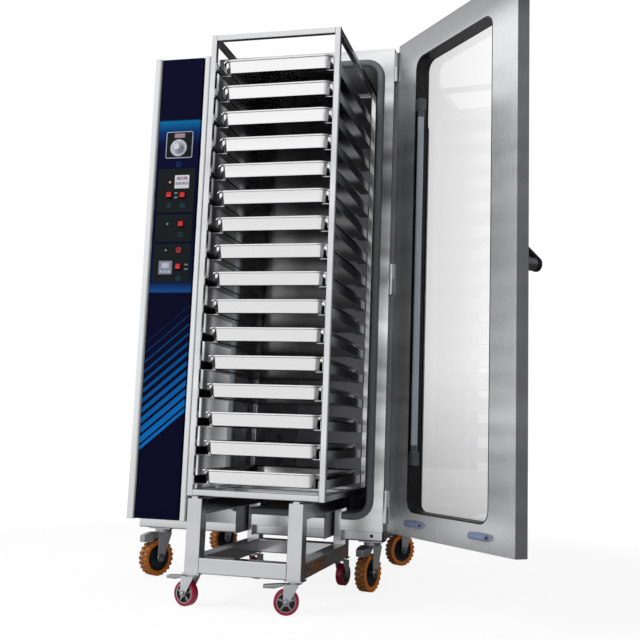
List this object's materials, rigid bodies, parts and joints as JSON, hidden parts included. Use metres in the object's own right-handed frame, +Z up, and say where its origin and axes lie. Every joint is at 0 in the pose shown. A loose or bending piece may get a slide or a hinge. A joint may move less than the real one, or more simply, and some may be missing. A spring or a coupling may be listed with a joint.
{
  "type": "convection oven",
  "caption": "Roll-in rack convection oven on casters with a hinged glass door, a left control column and a wheeled docking trolley carrying a rack of deep trays.",
  "frame": {"origin": "on the floor, under the middle of the oven's body", "axes": "+X to the right seen from the front, +Y into the oven, +Z up"},
  "size_m": [1.5525, 1.5616, 2.04],
  "materials": {
    "stainless": "brushed",
    "trim": "satin",
    "panel_navy": "gloss",
    "control_black": "satin",
    "knob_white": "matte",
    "switch_red": "gloss",
    "gasket_grey": "matte",
    "seal_black": "matte",
    "window_glass": "clear",
    "lamp_tube": "gloss",
    "plug_silicone": "matte",
    "handle_black": "satin",
    "motor_paint": "satin",
    "heater_sheath": "dull",
    "tray_aluminium": "satin",
    "zinc": "zinc plated",
    "wheel_orange": "satin",
    "wheel_burgundy": "satin"
  },
  "bodies": {
    "oven": {"plinth_frame": "stainless", "outer_casing": "stainless", "front_fascia": "stainless", "door_gasket": "gasket_grey", "chamber_liner": "stainless", "chamber_rails": "stainless", "panel_trims": "trim", "control_panel": "panel_navy", "control_modules": "control_black", "fan_baffle": "stainless", "fan_motors": "motor_paint", "heating_elements": "heater_sheath", "hinge_leaves": "stainless"},
    "door": {"door_frame": "stainless", "window_seal": "seal_black", "door_glass": "window_glass", "door_lamp": "lamp_tube", "seal_plugs": "plug_silicone"},
    "handle": {"handle_lever": "handle_black"},
    "trolley": {"trolley_base": "stainless"},
    "rack": {"rack_cage": "stainless"},
    "tray_01": {"tray_01": "tray_aluminium"},
    "tray_02": {"tray_02": "tray_aluminium"},
    "tray_03": {"tray_03": "tray_aluminium"},
    "tray_04": {"tray_04": "tray_aluminium"},
    "tray_05": {"tray_05": "tray_aluminium"},
    "tray_06": {"tray_06": "tray_aluminium"},
    "tray_07": {"tray_07": "tray_aluminium"},
    "tray_08": {"tray_08": "tray_aluminium"},
    "tray_09": {"tray_09": "tray_aluminium"},
    "tray_10": {"tray_10": "tray_aluminium"},
    "tray_11": {"tray_11": "tray_aluminium"},
    "tray_12": {"tray_12": "tray_aluminium"},
    "tray_13": {"tray_13": "tray_aluminium"},
    "tray_14": {"tray_14": "tray_aluminium"},
    "tray_15": {"tray_15": "tray_aluminium"},
    "tray_16": {"tray_16": "tray_aluminium"},
    "timer_knob": {"timer_knob": "knob_white"},
    "rocker_1": {"rocker_1": "switch_red"},
    "rocker_2": {"rocker_2": "switch_red"},
    "rocker_3": {"rocker_3": "switch_red"},
    "rocker_4": {"rocker_4": "switch_red"},
    "fan_lower": {"fan_lower": "stainless"},
    "fan_upper": {"fan_upper": "stainless"},
    "oven_fork_front_left": {"oven_fork_front_left": "zinc"},
    "oven_wheel_front_left": {"oven_wheel_front_left": "wheel_orange"},
    "oven_fork_front_right": {"oven_fork_front_right": "zinc"},
    "oven_wheel_front_right": {"oven_wheel_front_right": "wheel_orange"},
    "oven_fork_rear_left": {"oven_fork_rear_left": "zinc"},
    "oven_wheel_rear_left": {"oven_wheel_rear_left": "wheel_orange"},
    "oven_fork_rear_right": {"oven_fork_rear_right": "zinc"},
    "oven_wheel_rear_right": {"oven_wheel_rear_right": "wheel_orange"},
    "trolley_fork_front_left": {"trolley_fork_front_left": "zinc"},
    "trolley_wheel_front_left": {"trolley_wheel_front_left": "wheel_burgundy"},
    "trolley_fork_front_right": {"trolley_fork_front_right": "zinc"},
    "trolley_wheel_front_right": {"trolley_wheel_front_right": "wheel_burgundy"},
    "trolley_fork_rear_left": {"trolley_fork_rear_left": "zinc"},
    "trolley_wheel_rear_left": {"trolley_wheel_rear_left": "wheel_burgundy"},
    "trolley_fork_rear_right": {"trolley_fork_rear_right": "zinc"},
    "trolley_wheel_rear_right": {"trolley_wheel_rear_right": "wheel_burgundy"}
  },
  "joints": [
    {"name": "door_hinge", "type": "hinge", "parent": "oven", "child": "door", "pos_m": [0.5035, -0.514, 1.13], "axis": [0, 0, 1], "range_deg": [-46, 44]},
    {"name": "handle_turn", "type": "hinge", "parent": "door", "child": "handle", "pos_m": [0.99119, -1.00034, 1.105], "axis": [0.7547, 0.6561, 0], "range_deg": [-45, 45]},
    {"name": "rack_slide", "type": "slide", "parent": "trolley", "child": "rack", "axis": [0, 1, 0], "range_m": [-0.03, 0.56]},
    {"name": "trolley_dock", "type": "slide", "parent": "oven", "child": "trolley", "axis": [0, 1, 0], "range_m": [-0.7, 0]},
    {"name": "tray_01_slide", "type": "slide", "parent": "rack", "child": "tray_01", "axis": [0, 1, 0], "range_m": [-0.45, 0]},
    {"name": "tray_02_slide", "type": "slide", "parent": "rack", "child": "tray_02", "axis": [0, 1, 0], "range_m": [-0.45, 0]},
    {"name": "tray_03_slide", "type": "slide", "parent": "rack", "child": "tray_03", "axis": [0, 1, 0], "range_m": [-0.45, 0]},
    {"name": "tray_04_slide", "type": "slide", "parent": "rack", "child": "tray_04", "axis": [0, 1, 0], "range_m": [-0.45, 0]},
    {"name": "tray_05_slide", "type": "slide", "parent": "rack", "child": "tray_05", "axis": [0, 1, 0], "range_m": [-0.45, 0]},
    {"name": "tray_06_slide", "type": "slide", "parent": "rack", "child": "tray_06", "axis": [0, 1, 0], "range_m": [-0.45, 0]},
    {"name": "tray_07_slide", "type": "slide", "parent": "rack", "child": "tray_07", "axis": [0, 1, 0], "range_m": [-0.45, 0]},
    {"name": "tray_08_slide", "type": "slide", "parent": "rack", "child": "tray_08", "axis": [0, 1, 0], "range_m": [-0.45, 0]},
    {"name": "tray_09_slide", "type": "slide", "parent": "rack", "child": "tray_09", "axis": [0, 1, 0], "range_m": [-0.45, 0]},
    {"name": "tray_10_slide", "type": "slide", "parent": "rack", "child": "tray_10", "axis": [0, 1, 0], "range_m": [-0.45, 0]},
    {"name": "tray_11_slide", "type": "slide", "parent": "rack", "child": "tray_11", "axis": [0, 1, 0], "range_m": [-0.45, 0]},
    {"name": "tray_12_slide", "type": "slide", "parent": "rack", "child": "tray_12", "axis": [0, 1, 0], "range_m": [-0.45, 0]},
    {"name": "tray_13_slide", "type": "slide", "parent": "rack", "child": "tray_13", "axis": [0, 1, 0], "range_m": [-0.45, 0]},
    {"name": "tray_14_slide", "type": "slide", "parent": "rack", "child": "tray_14", "axis": [0, 1, 0], "range_m": [-0.45, 0]},
    {"name": "tray_15_slide", "type": "slide", "parent": "rack", "child": "tray_15", "axis": [0, 1, 0], "range_m": [-0.45, 0]},
    {"name": "tray_16_slide", "type": "slide", "parent": "rack", "child": "tray_16", "axis": [0, 1, 0], "range_m": [-0.45, 0]},
    {"name": "timer_turn", "type": "hinge", "parent": "oven", "child": "timer_knob", "pos_m": [-0.366, -0.53, 1.667], "axis": [0, -1, 0], "range_deg": [0, 300]},
    {"name": "rocker_1_tilt", "type": "hinge", "parent": "oven", "child": "rocker_1", "pos_m": [-0.394, -0.53, 1.4735], "axis": [1, 0, 0], "range_deg": [0, 18]},
    {"name": "rocker_2_tilt", "type": "hinge", "parent": "oven", "child": "rocker_2", "pos_m": [-0.3375, -0.53, 1.4715], "axis": [1, 0, 0], "range_deg": [0, 18]},
    {"name": "rocker_3_tilt", "type": "hinge", "parent": "oven", "child": "rocker_3", "pos_m": [-0.337, -0.53, 1.3545], "axis": [1, 0, 0], "range_deg": [0, 18]},
    {"name": "rocker_4_tilt", "type": "hinge", "parent": "oven", "child": "rocker_4", "pos_m": [-0.338, -0.53, 1.1845], "axis": [1, 0, 0], "range_deg": [0, 18]},
    {"name": "fan_lower_spin", "type": "hinge", "parent": "oven", "child": "fan_lower", "pos_m": [-0.181, -0.06, 0.715], "axis": [1, 0, 0], "continuous": true},
    {"name": "fan_upper_spin", "type": "hinge", "parent": "oven", "child": "fan_upper", "pos_m": [-0.181, -0.06, 1.545], "axis": [1, 0, 0], "continuous": true},
    {"name": "oven_swivel_front_left", "type": "hinge", "parent": "oven", "child": "oven_fork_front_left", "pos_m": [-0.39, -0.398, 0.176], "axis": [0, 0, 1], "continuous": true},
    {"name": "oven_roll_front_left", "type": "hinge", "parent": "oven_fork_front_left", "child": "oven_wheel_front_left", "pos_m": [-0.40362, -0.42473, 0.068], "axis": [0.891, -0.454, 0], "continuous": true},
    {"name": "oven_swivel_front_right", "type": "hinge", "parent": "oven", "child": "oven_fork_front_right", "pos_m": [0.438, -0.398, 0.176], "axis": [0, 0, 1], "continuous": true},
    {"name": "oven_roll_front_right", "type": "hinge", "parent": "oven_fork_front_right", "child": "oven_wheel_front_right", "pos_m": [0.42973, -0.42684, 0.068], "axis": [0.9613, -0.2756, 0], "continuous": true},
    {"name": "oven_swivel_rear_left", "type": "hinge", "parent": "oven", "child": "oven_fork_rear_left", "pos_m": [-0.39, 0.366, 0.176], "axis": [0, 0, 1], "continuous": true},
    {"name": "oven_roll_rear_left", "type": "hinge", "parent": "oven_fork_rear_left", "child": "oven_wheel_rear_left", "pos_m": [-0.405, 0.34002, 0.068], "axis": [0.866, -0.5, 0], "continuous": true},
    {"name": "oven_swivel_rear_right", "type": "hinge", "parent": "oven", "child": "oven_fork_rear_right", "pos_m": [0.438, 0.366, 0.176], "axis": [0, 0, 1], "continuous": true},
    {"name": "oven_roll_rear_right", "type": "hinge", "parent": "oven_fork_rear_right", "child": "oven_wheel_rear_right", "pos_m": [0.41912, 0.34269, 0.068], "axis": [0.7771, -0.6293, 0], "continuous": true},
    {"name": "trolley_swivel_front_left", "type": "hinge", "parent": "trolley", "child": "trolley_fork_front_left", "pos_m": [-0.031, -0.979, 0.1025], "axis": [0, 0, 1], "continuous": true},
    {"name": "trolley_roll_front_left", "type": "hinge", "parent": "trolley_fork_front_left", "child": "trolley_wheel_front_left", "pos_m": [-0.05599, -0.97183, 0.04], "axis": [-0.2756, -0.9613, 0], "continuous": true},
    {"name": "trolley_swivel_front_right", "type": "hinge", "parent": "trolley", "child": "trolley_fork_front_right", "pos_m": [0.308, -0.979, 0.1025], "axis": [0, 0, 1], "continuous": true},
    {"name": "trolley_roll_front_right", "type": "hinge", "parent": "trolley_fork_front_right", "child": "trolley_wheel_front_right", "pos_m": [0.28289, -0.98573, 0.04], "axis": [0.2588, -0.9659, 0], "continuous": true},
    {"name": "trolley_swivel_rear_left", "type": "hinge", "parent": "trolley", "child": "trolley_fork_rear_left", "pos_m": [-0.031, -0.349, 0.1025], "axis": [0, 0, 1], "continuous": true},
    {"name": "trolley_roll_rear_left", "type": "hinge", "parent": "trolley_fork_rear_left", "child": "trolley_wheel_rear_left", "pos_m": [-0.02559, -0.32357, 0.04], "axis": [-0.9781, 0.2079, 0], "continuous": true},
    {"name": "trolley_swivel_rear_right", "type": "hinge", "parent": "trolley", "child": "trolley_fork_rear_right", "pos_m": [0.308, -0.349, 0.1025], "axis": [0, 0, 1], "continuous": true},
    {"name": "trolley_roll_rear_right", "type": "hinge", "parent": "trolley_fork_rear_right", "child": "trolley_wheel_rear_right", "pos_m": [0.31385, -0.32367, 0.04], "axis": [-0.9744, 0.225, 0], "continuous": true}
  ]
}
